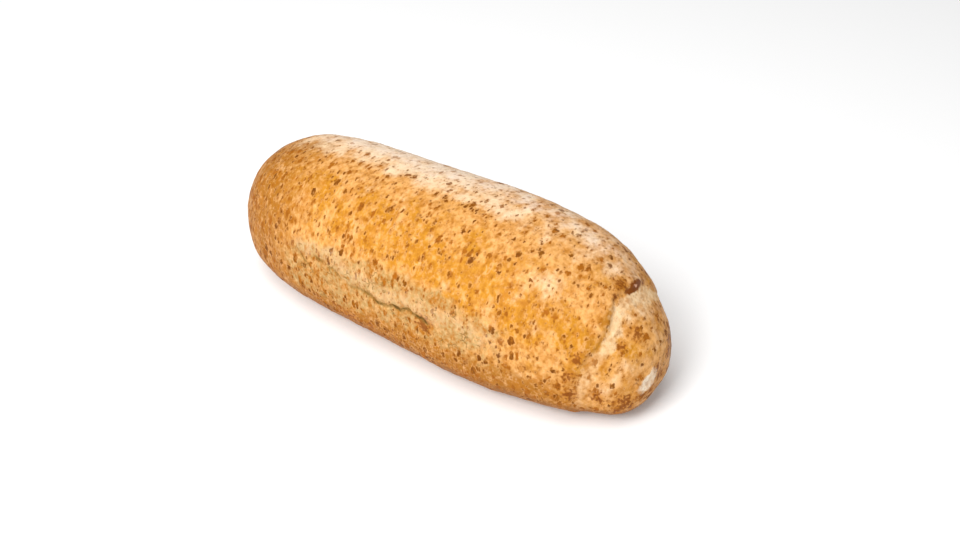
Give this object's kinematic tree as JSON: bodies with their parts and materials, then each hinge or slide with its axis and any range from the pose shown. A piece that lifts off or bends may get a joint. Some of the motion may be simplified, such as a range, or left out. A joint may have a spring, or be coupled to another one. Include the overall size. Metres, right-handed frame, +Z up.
{
  "type": "bread roll",
  "caption": "Oval wholemeal bread roll with a bran-flecked golden crust, a torn flank, a pleat at one end and a flat base.",
  "frame": {"origin": "middle of the roll's footprint, on the surface that it rests on", "axes": "+Z up, +X along the roll towards the end with the pleat, -Y towards the flank that tore open in the oven"},
  "size_m": [0.16, 0.0628, 0.0522],
  "materials": {
    "crust": "baked wholemeal crust, satin, golden with brown bran flecks, paler along the torn flank and browner underneath"
  },
  "bodies": {
    "root": {"bread_roll": "crust"}
  },
  "joints": []
}
